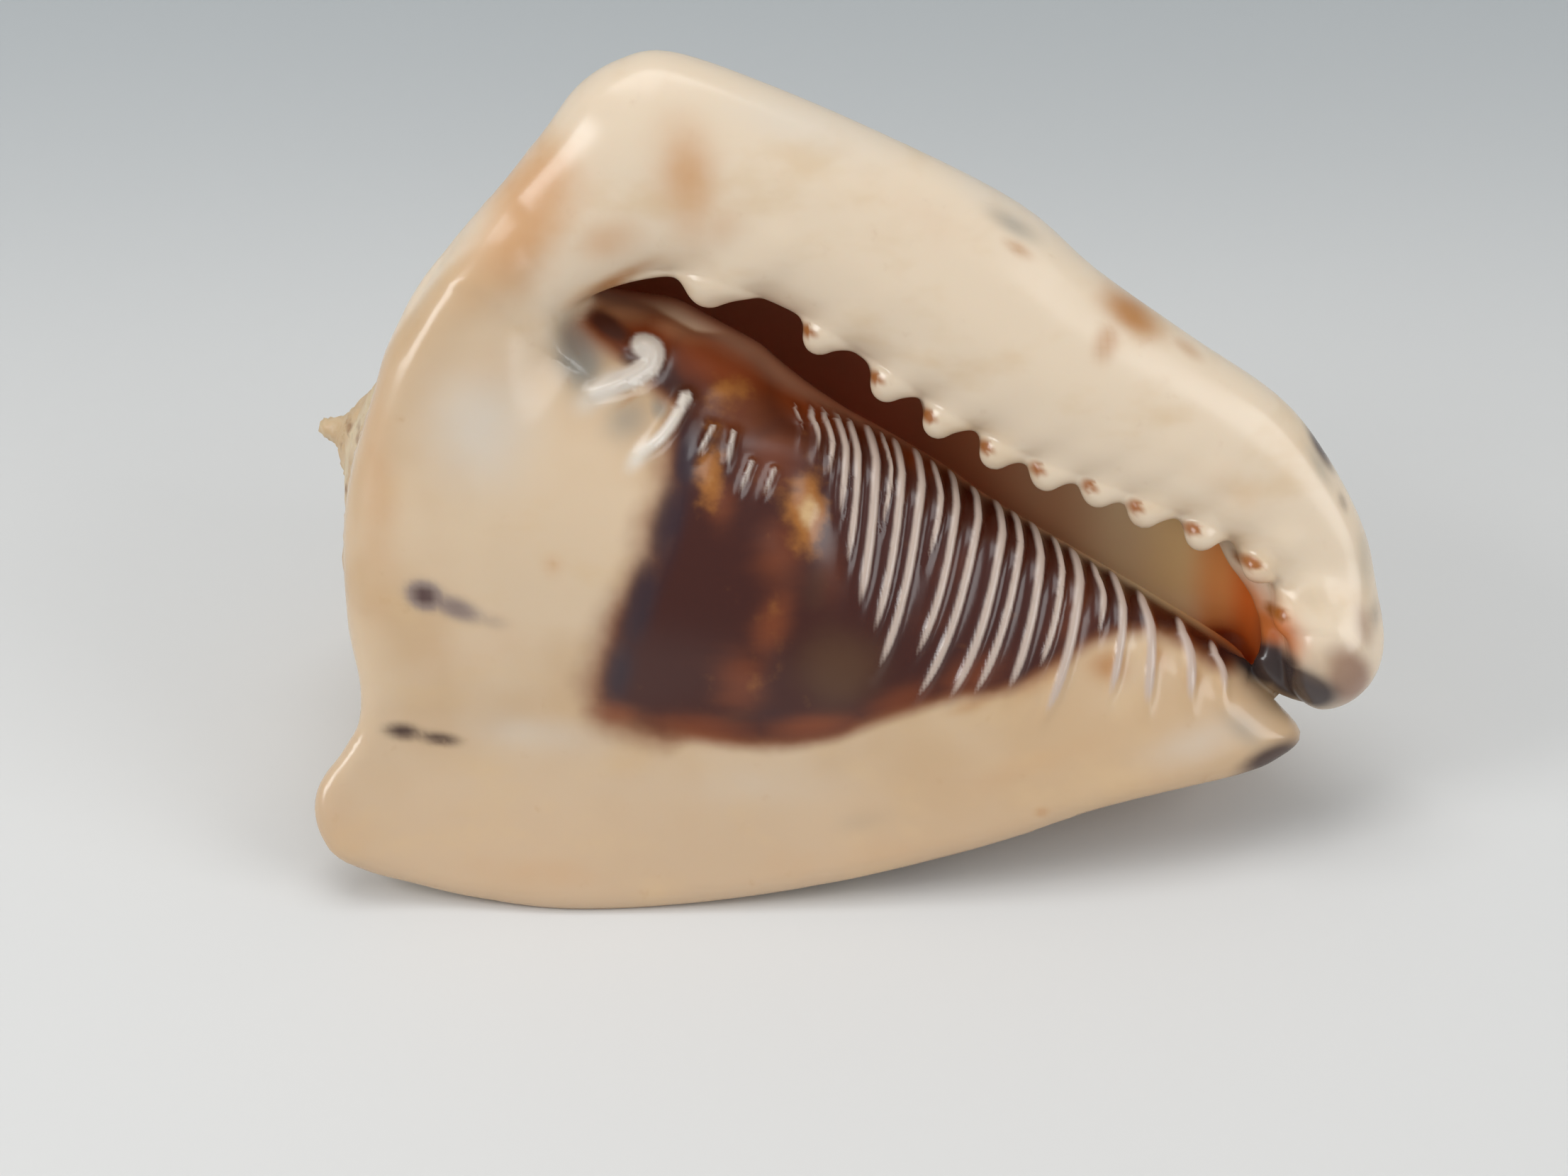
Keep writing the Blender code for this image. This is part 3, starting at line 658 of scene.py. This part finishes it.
# Soft stains in the porcelain, and painted shade at the canal: u, v, half length, half width, turn in
# degrees, strength.
stains = {
    "blush": [
        (-60, 50, 18, 9, 62, 0.9), (-30, 56, 7, 13, 10, 0.75), (-24, 48, 6, 5, 20, 0.5),
        (-98, -67, 8, 9, 0, 0.3), (-89, 2, 4.5, 30, 0, 0.45), (38, -55, 16, 4, 20, 0.35),
        (-56, -16, 3, 3, 0, 0.4), (14, 50, 18, 5, -30, 0.25), (76, -3, 12, 5, -30, 0.3),
        (-60, -77, 24, 4, -5, 0.3), (2, -74, 26, 4, 8, 0.25), (-68, 22, 6, 7, 0, 0.25),
        (-45, 45, 8, 5, 20, 0.6), (-72, -32, 14, 10, 0, 0.3)],
    "haze": [
        (-70, 10, 12, 13, 0, 0.7), (-60, -50, 18, 5, -5, 0.5), (30, 52, 16, 6, -30, 0.5),
        (-8, 66, 20, 6, -20, 0.5), (70, -52, 16, 5, 15, 0.5), (-20, -60, 30, 5, 0, 0.3)],
    "amber": [
        (54, 31, 8.5, 4, -35, 1.05), (49, 26, 5, 3, 70, 0.8), (32, 43.5, 4, 1.5, -30, 0.7),
        (65, 24.5, 5, 1.8, -35, 0.6), (-44, 37.8, 9, 1.7, 26, 1), (38, -65, 2, 1.3, 10, 0.6),
        (98, -38, 4, 5, 0, 0.5), (-56, -16, 1.5, 1.2, 0, 0.4), (38, -39, 9, 3, 30, 0.6),
        (51, -37, 5, 4, 0, 0.7), (24, -44, 6, 2, 20, 0.6), (61, -36, 3, 4, 0, 0.6),
        (68, -40, 2.5, 3, 0, 0.5), (-42, 14.5, 4, 1, 35, 0.5)],
    "mist": [
        (-51.5, 23, 4.5, 9, 20, 1), (-42, 11, 5.5, 5, 30, 0.6), (-36, 13, 2.5, 3, 0, 0.7),
        (31, 48, 7, 2.2, -30, 0.6), (3, -67, 8, 3, 10, 0.25), (78, -50, 6, 3, -40, 0.5),
        (91, 2, 6, 1.8, -60, 0.5), (101, -16, 3, 9, 0, 0.4)],
    "foot": [(-46, 17, 5, 2.6, 35, 1), (-49.5, 14.5, 4, 3, 35, 0.5), (-39.5, 4.6, 4.5, 2, 52, 0.8)],
    "flush": [(77, -26, 9, 6, -35, 1), (83, -31, 7, 5, -50, 1)],
    # painted shade: the canal's mouth under the lip's end, darkened
    "shade": [(82, -37.5, 8, 4, -35, 1.4), (89, -41, 7, 4, -25, 1.4), (85, -36.5, 5, 3, -30, 1)],
    "mauve": [(97, -38.5, 7, 5, -60, 1.2), (100, -29, 6, 3, -80, 0.6), (92, -36.5, 5, 3, -40, 0.5)],
    # on the back of the lip's flange
    "bars": [
        (-66, 55, 4, 8, -40, 1), (-38, 79, 4, 9, 0, 1), (-12, 72, 3.5, 9, 20, 1),
        (14, 61, 3.5, 9, 28, 1), (38, 48, 3.5, 9, 34, 1), (60, 32, 3.5, 9, 40, 1),
        (80, 18, 3.5, 9, 45, 1), (98, -6, 9, 3.5, -20, 1)],
    "inkSpot": [
        (-80.5, -22, 3.3, 2.6, -15, 1), (-74.5, -24.5, 6, 2.4, -22, 0.55), (-68, -27, 4, 2, -10, 0.25)],
    "brownSpot": [
        (-86, -49.3, 4.2, 2, -8, 0.9), (-79, -51, 5, 1.7, -8, 0.8), (84, -56, 8, 3, 20, 1),
        (92, 5, 6, 1.7, -60, 0.9), (96, -5, 3, 1.4, -70, 0.5), (103, -27, 2.5, 4, 0, 0.4)],
    "wedge": [
        (-46.3, 28.6, 6.5, 2.2, -36, 1), (-41.5, 22, 3, 2.2, -50, 0.8), (-34, 18, 2.5, 4, 20, 0.7)],
    "purpleShade": [
        (-34, -8, 3.5, 12, -14, 1), (-39, -22, 3.5, 11, -16, 1), (-44, -37, 3.5, 8, -12, 0.9),
        (-31, 3, 2.5, 7, -8, 1), (-14, -46, 8, 3, 0, 0.4)],
    "ember": [
        (-14, -27, 4, 9, -20, 1), (-20, -39, 6, 7, -30, 0.9), (-21, 12, 10, 7, -30, 0.8),
        (-24, -5, 4, 6, 0, 0.8), (-13, -14, 6, 9, 0, 0.8), (-14, 3, 9, 8, -20, 0.8),
        (-32, 20, 4, 3, -20, 0.6), (-45, -46, 6, 3, -10, 0.9), (-28, -48.5, 12, 3.4, -5, 1),
        (-6, -48, 11, 3.2, 6, 1), (10, -43, 9, 3.5, 20, 0.9), (24, -38, 8, 4, 20, 0.8),
        (-3, -18, 4, 8, 0, 0.5), (20, -20, 5, 12, -20, 0.4), (44, -26, 6, 9, -20, 0.6)],
    "olive": [(-2, -36, 10, 10, 30, 0.9), (-20, -46, 9, 3, 0, 0.4), (-6, -22, 4, 8, -10, 0.4)],
    "wallBrown": [
        (-40, 30, 14, 8, -10, 1), (-24, 23, 14, 7, -25, 1), (-6, 15, 12, 6, -30, 1),
        (12, 5, 12, 4, -30, 0.8)],
    "wallTan": [(-44, 33, 9, 4, -10, 1), (-33, 29, 8, 4, -20, 0.6)],
}


def stainPattern(spots, u, v):
    # soft ellipses, the strongest of them at each point
    pattern = np.zeros_like(u)
    for spotU, spotV, halfLong, halfShort, turn, strength in spots:
        a = math.radians(turn)
        x = (u - spotU) * math.cos(a) + (v - spotV) * math.sin(a)
        y = (v - spotV) * math.cos(a) - (u - spotU) * math.sin(a)
        pattern = np.maximum(pattern, strength * np.exp(-(x / halfLong) ** 2 - (y / halfShort) ** 2))
    return pattern


def knobPattern(level, turn):
    # 1 on the tips of the shoulder's knobs
    shoulder = coil["knobRows"][0][0] * turnScale(turn)
    return knobWave(turn) * np.exp(-((level - shoulder) / coil["paleKnob"]) ** 2)


def toothSpotPattern(u, v, w):
    # distance from the nearest tooth's brown spot; the large tooth at the spire has none
    tips = np.array(teeth["tips"][1:])
    (backU, upV), (cosine, sine) = toothSpots["place"], toothSpots["turn"]
    u = u[:, None] - tips[:, 0] + backU * tips[:, 2]
    v = v[:, None] - tips[:, 1] - upV * tips[:, 2]
    narrow = toothSpots["narrower"] * (sine * u + cosine * v)
    away = np.min(np.hypot(cosine * u - sine * v, narrow), axis=1)
    level, smaller = toothSpots["above"]
    return away + np.where(w > level, smaller, 0)


def paintMasks(place, normal):
    # what each point of the skin is, as numbers that the relief and the material read
    u, v, w = place.T
    parts = {}
    shellDistance(u, v, w, parts)
    inside = smoothStep(*regions["underWall"], -parts["outside"])
    inside = inside * smoothStep(*regions["offShield"], parts["shield"])
    inside = inside * smoothStep(*regions["below"], w)
    openingGap = openingOutline(u, v)
    offOpening = np.where(w > regions["openingDepth"], smoothStep(*regions["offOpening"], openingGap), 1)
    turnedAway = smoothStep(*regions["normalAway"], normal[:, 2]) * offOpening
    offFace = smoothStep(*regions["offPlates"], np.minimum(parts["lip"], parts["shield"]))
    offFace = offFace * (openingGap > 0)
    back = np.maximum(turnedAway, offFace) * (1 - inside)
    face = 1 - np.maximum(back, inside)
    away = outlineDistance(patch["outline"], u, v)
    onLip = smoothStep(*regions["lip"], parts["lip"] - parts["shield"])
    bare = face * (1 - onLip)
    soft, sharp = patch["soft"]
    soft = sharp + (soft - sharp) * smoothStep(*patch["softU"], u) * smoothStep(*patch["softV"], v)
    masks = {
        "along": u, "across": v, "inside": inside, "back": back,
        "ridge": ridgePattern(u, v, w) * (w > ridges["deepest"]) * bare,
        "fold": foldPattern(u, v) * bare * (w > ridges["foldDeepest"]),
        "lump": lumpPattern(u, v) * bare,
        "patch": np.minimum(-away / soft, patch["most"]) - regions["none"] * onLip,
        "lipShare": onLip,
        "toothSpot": toothSpotPattern(u, v, w) + toothSpots["none"] * (1 - face),
        "level": parts["level"], "turn": parts["turn"],
        "knob": knobPattern(parts["level"], parts["turn"]),
    }
    for name, spots in stains.items():
        where = bare if name in patch["stains"] else back if name == "bars" else face
        masks[name] = stainPattern(spots, u, v) * where
    return masks


def addObject(name, data):
    thing = bpy.data.objects.new(name, data)
    bpy.context.scene.collection.objects.link(thing)
    return thing


def storeMasks(mesh, masks):
    for name, values in masks.items():
        layer = mesh.attributes.new(name, 'FLOAT', 'POINT')
        layer.data.foreach_set("value", np.ascontiguousarray(values, np.float32))


def nodeAdder(tree):
    # gives a function that adds a node, its inputs by place or by name, and returns its outputs
    def add(kind, inputs=(), **settings):
        node = tree.nodes.new(kind)
        for key, value in settings.items():
            setattr(node, key, value)
        for key, value in inputs.items() if isinstance(inputs, dict) else enumerate(inputs):
            if isinstance(value, bpy.types.NodeSocket):
                tree.links.new(value, node.inputs[key])
            else:
                node.inputs[key].default_value = value
        return node.outputs
    return add


relief = {
    # height in metres of what each mask raises
    "ridge": 0.0011,
    "fold": 0.0022,
    "lump": 0.0012,
    # grown over the back: spiral cords by mm along the coil, growth lines by degrees of turn
    "cord height": 0.00028,
    "cord spacing": 6.2,
    "growth height": 0.00022,
    "growth spacing": 6.0,
    "wander": 5.0,
    "unevenness": 0.0005,
    "fine scale": 55.0,
    "broad scale": 20.0,
    "seed": 4.0,
}


def addRelief(shell, material):
    # raises ridges, folds, cords and growth lines out of the skin
    tree = bpy.data.node_groups.new("shell relief", 'GeometryNodeTree')
    add = nodeAdder(tree)
    for way in ('INPUT', 'OUTPUT'):
        tree.interface.new_socket("Geometry", in_out=way, socket_type='NodeSocketGeometry')
    for name in relief:
        tree.interface.new_socket(name, in_out='INPUT', socket_type='NodeSocketFloat')
    tree.interface.new_socket("material", in_out='INPUT', socket_type='NodeSocketMaterial')
    given = add('NodeGroupInput')
    mask = {name: add('GeometryNodeInputNamedAttribute', {"Name": name}, data_type='FLOAT')["Attribute"]
            for name in ("ridge", "fold", "lump", "back", "level", "turn")}
    place = add('GeometryNodeInputPosition')[0]
    fine, broad = [
        add('ShaderNodeTexNoise',
            {"Vector": place, "W": given["seed"], "Scale": given[scale], "Detail": 2.0},
            noise_dimensions='4D')[0]
        for scale in ("fine scale", "broad scale")]

    rise = add('ShaderNodeMath', [broad, given["unevenness"]], operation='MULTIPLY')[0]
    for name in ("ridge", "fold", "lump"):
        rise = add('ShaderNodeMath', [mask[name], given[name], rise], operation='MULTIPLY_ADD')[0]
    for name, measure in (("cord", "level"), ("growth", "turn")):
        wandering = add('ShaderNodeMath', [fine, given["wander"], mask[measure]],
                        operation='MULTIPLY_ADD')[0]
        count = add('ShaderNodeMath', [wandering, given[name + " spacing"]], operation='DIVIDE')[0]
        turned = add('ShaderNodeMath', [count, 2 * math.pi], operation='MULTIPLY')[0]
        wave = add('ShaderNodeMath', [turned], operation='COSINE')[0]
        outer = add('ShaderNodeMath', [wave, mask["back"]], operation='MULTIPLY')[0]
        rise = add('ShaderNodeMath', [outer, given[name + " height"], rise], operation='MULTIPLY_ADD')[0]
    normal = add('GeometryNodeInputNormal')[0]
    offset = add('ShaderNodeVectorMath', {0: normal, "Scale": rise}, operation='SCALE')[0]
    moved = add('GeometryNodeSetPosition', {"Geometry": given["Geometry"], "Offset": offset})[0]
    real = add('GeometryNodeRealizeInstances', {"Geometry": moved})[0]
    dressed = add('GeometryNodeSetMaterial', {"Geometry": real, "Material": given["material"]})[0]
    add('NodeGroupOutput', {"Geometry": dressed})

    modifier = shell.modifiers.new("relief", 'NODES')
    modifier.node_group = tree
    for item in tree.interface.items_tree:
        if item.in_out == 'INPUT' and item.name != "Geometry":
            modifier[item.identifier] = relief.get(item.name, material)
    bpy.context.view_layer.update()
    raised = shell.evaluated_get(bpy.context.evaluated_depsgraph_get())
    finished = bpy.data.meshes.new_from_object(raised)
    shell.modifiers.clear()
    shell.data = finished


def wearFlats(mesh):
    # nothing of the shell reaches below the table
    places = np.empty(3 * len(mesh.vertices), np.float32)
    mesh.vertices.foreach_get("co", places)
    places[2::3] = np.maximum(places[2::3], 0)
    mesh.vertices.foreach_set("co", places)
    mesh.update()


def linear(hexColour):
    # an sRGB hex colour as linear values
    parts = [int(hexColour[i:i + 2], 16) / 255 for i in (1, 3, 5)]
    return [c / 12.92 if c <= 0.04045 else ((c + 0.055) / 1.055) ** 2.4 for c in parts] + [1]


porcelain = {
    # size in mm of each cloudy noise, and how it is stretched along x, y and z
    "clouds": {"broad": (50, (1, 1, 1)), "middling": (15, (1, 1, 1)), "fine": (4.5, (1, 1, 1)),
               "streaks": (16, (0.5, 1.0, 2.2)), "veins": (22, (1.4, 1.0, 2.6))},
    "ground": "#DCC3A4",
    # paint over the ground, in order: mask, colour, where it begins and is full, share, the cloud
    # that frays it, by how much
    "paint": [
        ("broad", "#CCAA82", 0.42, 0.64, 0.8, None, 0),
        ("across", "#C9AB8B", -38, -80, 0.75, "broad", 30),
        ("lipShare", "#E8D4BA", 0.1, 0.9, 1.0, "middling", 0.2),
        ("veins", "#D9BA90", 0.48, 0.78, 0.45, None, 0),
        ("blush", "#CF9A66", 0.05, 1.1, 1.0, "middling", 0.5),
        ("haze", "#D9D3CA", 0.02, 1.1, 0.8, "middling", 0.3),
        ("mist", "#8C887F", 0.02, 1.0, 0.95, "middling", 0.2),
        ("amber", "#B4783A", 0.08, 1.2, 0.95, "middling", 0.5),
        ("patch", "#85502F", -1.4, 0.7, 1.0, "middling", 1.6),
        ("patch", "#42160A", -0.3, 1.3, 1.0, "middling", 2.2),
        ("purpleShade", "#30202A", 0.1, 1.0, 0.85, "middling", 0.3),
        ("ember", "#84401A", 0.08, 1.3, 0.9, "streaks", 0.8),
        ("olive", "#5E3F26", 0.2, 1.0, 0.75, "middling", 0.6),
        ("wallBrown", "#8E4018", 0.1, 0.9, 0.9, "middling", 0.3),
        ("wallTan", "#D29C72", 0.1, 1.0, 0.9, "middling", 0.2),
        ("wedge", "#43221C", 0.1, 0.9, 0.9, "middling", 0.3),
        ("lump", "#A86A2C", 0.12, 0.7, 0.9, "fine", 0.9),
        ("lump", "#DDBE8E", 0.6, 1.15, 0.9, "fine", 0.7),
        ("flush", "#D0702C", 0.05, 0.9, 0.95, "middling", 0.2),
        ("mauve", "#94705C", 0.1, 0.9, 0.9, "middling", 0.3),
        # painted shade in the canal's mouth
        ("shade", "#35282A", 0.1, 0.9, 0.97, "middling", 0.2),
        ("foot", "#E6DED2", 0.05, 0.95, 0.9, None, 0),
        ("inkSpot", "#857573", 0.04, 0.5, 0.8, "middling", 0.15),
        ("inkSpot", "#4A2E2E", 0.35, 1.0, 0.9, "middling", 0.3),
        ("brownSpot", "#432A22", 0.10, 0.9, 0.97, "middling", 0.4),
        ("ridge", "#C9B6A9", 0.34, 0.86, 0.95, "fine", 0.15),
        ("fold", "#E0D6CA", 0.14, 0.6, 1.0, "fine", 0.06),
        ("toothSpot", "#A35F22", 3.4, 1.0, 0.95, "fine", 0.2),
    ],
    # the hollow, by the distance along the face: its own warm colours, painted far paler as painted light
    # for the light that comes in through its thin walls
    "hollow": [
        (-60, "#F0B494"), (-30, "#F6BC98"), (5, "#F2A67E"), (26, "#DE9468"), (44, "#E4B68C"),
        (58, "#F6DEB4"), (69, "#FADCA4"), (77, "#F8AC68"), (83, "#EE7E38"), (89, "#5A3E36")],
    # the same over the back's own ground
    "back": [
        ("middling", "#DCC8A6", 0.42, 0.62, 0.9, None, 0),
        ("broad", "#B98A5C", 0.5, 0.7, 0.7, None, 0),
        ("streaks", "#80502C", 0.57, 0.68, 0.8, None, 0),
        ("bars", "#5E3A26", 0.3, 0.75, 0.85, None, 0),
        ("knob", "#E8DCC8", 0.3, 0.95, 0.8, None, 0),
    ],
    "backGround": "#CFB18A",
    "roughness": 0.24,
    "backRoughness": 0.2,  # how much duller the back is
    "ior": 1.56,
    "bump": (0.05, 0.0005),  # share, and height in metres
    "glow": 0.15,  # how much light passes under the surface, and how far in metres
    "glowReach": (0.004, 0.0024, 0.0014),
}


def porcelainMaterial():
    # polished aragonite: an even gloss, with colours that lie soft and deep under it, and a duller back
    material = bpy.data.materials.new("polished shell aragonite")
    material.use_nodes = True
    tree = material.node_tree
    tree.nodes.clear()
    add = nodeAdder(tree)
    where = add('ShaderNodeTexCoord')["Object"]
    masks = {}
    for name, (size, stretch) in porcelain["clouds"].items():
        placed = add('ShaderNodeMapping', {"Vector": where, "Scale": stretch})[0]
        noise = {"Vector": placed, "Scale": 1000 / size, "Detail": 3.0}
        masks[name] = add('ShaderNodeTexNoise', noise)[0]
    layers = porcelain["paint"] + porcelain["back"]
    for name in ["along", "inside", "back"] + [layer[0] for layer in layers]:
        if name not in masks:
            masks[name] = add('ShaderNodeAttribute', attribute_name=name)["Fac"]

    def painted(colour, layers):
        # the colour with the paints laid over it, one after the other
        for name, paint, begin, full, share, cloud, fray in layers:
            value = masks[name]
            if cloud:
                value = add('ShaderNodeMath', [masks[cloud], fray, value], operation='MULTIPLY_ADD')[0]
            amount = add('ShaderNodeMapRange', [value, begin + fray / 2, full + fray / 2, 0.0, share],
                         interpolation_type='SMOOTHSTEP')[0]
            colour = add('ShaderNodeMix', {0: amount, 6: colour, 7: linear(paint)}, data_type='RGBA')[2]
        return colour

    colour = painted(linear(porcelain["ground"]), porcelain["paint"])
    # inside the hollow, the paler bands of painted light take over
    first, last = porcelain["hollow"][0][0], porcelain["hollow"][-1][0]
    reached = add('ShaderNodeMapRange', [masks["along"], first, last])[0]
    hollowPaintedLight = add('ShaderNodeValToRGB', [reached])[0]
    elements = hollowPaintedLight.node.color_ramp.elements
    hollowPaintedLight.node.color_ramp.interpolation = 'EASE'
    for at, paint in porcelain["hollow"][1:-1]:
        elements.new((at - first) / (last - first))
    for element, (at, paint) in zip(elements, porcelain["hollow"]):
        element.color = linear(paint)
    colour = add('ShaderNodeMix', {0: masks["inside"], 6: colour, 7: hollowPaintedLight}, data_type='RGBA')[2]

    behind = painted(linear(porcelain["backGround"]), porcelain["back"])
    colour = add('ShaderNodeMix', {0: masks["back"], 6: colour, 7: behind}, data_type='RGBA')[2]

    dullness = add('ShaderNodeMath', [masks["back"], porcelain["backRoughness"], porcelain["roughness"]],
                   operation='MULTIPLY_ADD')[0]
    strength, height = porcelain["bump"]
    bump = add('ShaderNodeBump', {"Height": masks["fine"], "Strength": strength, "Distance": height})[0]
    surface = add('ShaderNodeBsdfPrincipled', {
        "Base Color": colour, "Roughness": dullness, "IOR": porcelain["ior"], "Normal": bump,
        "Subsurface Weight": porcelain["glow"], "Subsurface Radius": porcelain["glowReach"],
        "Subsurface Scale": 1.0})[0]
    add('ShaderNodeOutputMaterial', {"Surface": surface})
    return material


mesh, place = makeSkin()
normals = np.empty(3 * len(mesh.vertices), np.float32)
mesh.vertex_normals.foreach_get("vector", normals)
storeMasks(mesh, paintMasks(place, normals.reshape(-1, 3)))
mesh.transform(toWorld())
shell = addObject("shell_skin", mesh)
addRelief(shell, porcelainMaterial())
wearFlats(shell.data)
print("shell dressed:", sum(len(face.vertices) - 2 for face in shell.data.polygons), "triangles")
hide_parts("helmet_shell")
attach(shell, "root")

studio = {
    "elevation": 33.0,  # the camera looks this far down
    "lens": 60.0,
    "sensor": 36.0,
    "distance": 0.50,  # to the middle of the face
    "imageSize": (2212, 1659),
    "faceOrigin": (1194.5, 674.7),  # pixel of the face's origin
    # paper backdrop: how far it lies flat behind the shell, the radius of its curve, its height
    "sweep": (0.12, 0.26, 1.2),
    # the paper's colour on the table and at the back, greyer at the back as painted shade where the light
    # falls off, and between which y it changes
    "paper": ("#E0DFDD", "#A0A6A9", 0.07, 0.36),
    "paperRoughness": 0.8,
    "paperReach": 2.0,  # how far it runs to each side and to the front
    "curveSteps": 24,
    # each softbox: where it stands, its width, its watts; the side ones stand where the dark patch
    # mirrors neither of them to the camera
    "softboxes": {"softbox at the left": ((-0.95, -0.5, 0.75), 0.5, 5.6),
                  "softbox at the right": ((1.0, -0.6, 0.7), 0.8, 5.6),
                  "softbox overhead": ((-0.15, 0.12, 1.35), 0.9, 6.5)},
    "aim": (0, 0, 0.06),
    "air": ("#E8ECEF", 0.44),
}


def addCamera():
    data = bpy.data.cameras.new("camera")
    data.lens = studio["lens"]
    data.sensor_width = studio["sensor"]
    camera = addObject("camera", data)
    down = math.radians(studio["elevation"])
    ahead = Vector((0, math.cos(down), -math.sin(down)))
    upward = Vector((0, math.sin(down), math.cos(down)))
    width, height = studio["imageSize"]
    pixels = width * studio["lens"] / studio["sensor"]
    away = studio["distance"]
    across = (studio["faceOrigin"][0] - width / 2) / pixels * away
    above = (height / 2 - studio["faceOrigin"][1]) / pixels * away
    camera.location = toWorld().translation - (Vector((1, 0, 0)) * across + upward * above + ahead * away)
    camera.rotation_euler = ahead.to_track_quat('-Z', 'Y').to_euler()
    bpy.context.scene.camera = camera


def addBackdrop():
    # seamless paper, graded: matt and pale, flat under the shell, curving up behind it, and greyer behind
    # it as painted shade
    flat, radius, height = studio["sweep"]
    reach, steps = studio["paperReach"], studio["curveSteps"]
    profile = [(-reach, 0.0), (flat, 0.0)]
    for step in range(1, steps + 1):
        a = math.radians(90 * step / steps)
        profile.append((flat + radius * math.sin(a), radius * (1 - math.cos(a))))
    profile.append((flat + radius, height))
    points = [(side * reach, y, z) for y, z in profile for side in (-1, 1)]
    faces = [(2 * i, 2 * i + 1, 2 * i + 3, 2 * i + 2) for i in range(len(profile) - 1)]
    mesh = bpy.data.meshes.new("backdrop")
    mesh.from_pydata(points, [], faces)
    mesh.shade_smooth()
    backdrop = addObject("backdrop", mesh)
    paper = bpy.data.materials.new("seamless paper with painted shade")
    paper.use_nodes = True
    add = nodeAdder(paper.node_tree)
    near, far, begin, end = studio["paper"]
    place = add('ShaderNodeTexCoord')["Object"]
    # painted shade: the paper's colour darkens toward the back
    back = add('ShaderNodeSeparateXYZ', [place])["Y"]
    share = add('ShaderNodeMapRange', [back, begin, end], interpolation_type='SMOOTHSTEP')[0]
    shade = add('ShaderNodeMix', {0: share, 6: linear(near), 7: linear(far)}, data_type='RGBA')[2]
    shader = paper.node_tree.nodes["Principled BSDF"]
    paper.node_tree.links.new(shade, shader.inputs["Base Color"])
    shader.inputs["Roughness"].default_value = studio["paperRoughness"]
    mesh.materials.append(paper)


def addLight(name, place, size, watts):
    data = bpy.data.lights.new(name, 'AREA')
    data.size = size
    data.energy = watts
    lamp = addObject(name, data)
    lamp.location = place
    lamp.rotation_euler = (Vector(studio["aim"]) - lamp.location).to_track_quat('-Z', 'Y').to_euler()


addCamera()
addBackdrop()
for name, (place, size, watts) in studio["softboxes"].items():
    addLight(name, place, size, watts)
world = bpy.data.worlds.new("studio air")
world.use_nodes = True
air = world.node_tree.nodes["Background"]
air.inputs["Color"].default_value = linear(studio["air"][0])
air.inputs["Strength"].default_value = studio["air"][1]
bpy.context.scene.world = world
bpy.context.scene.view_settings.view_transform = 'Standard'
print("studio lit")
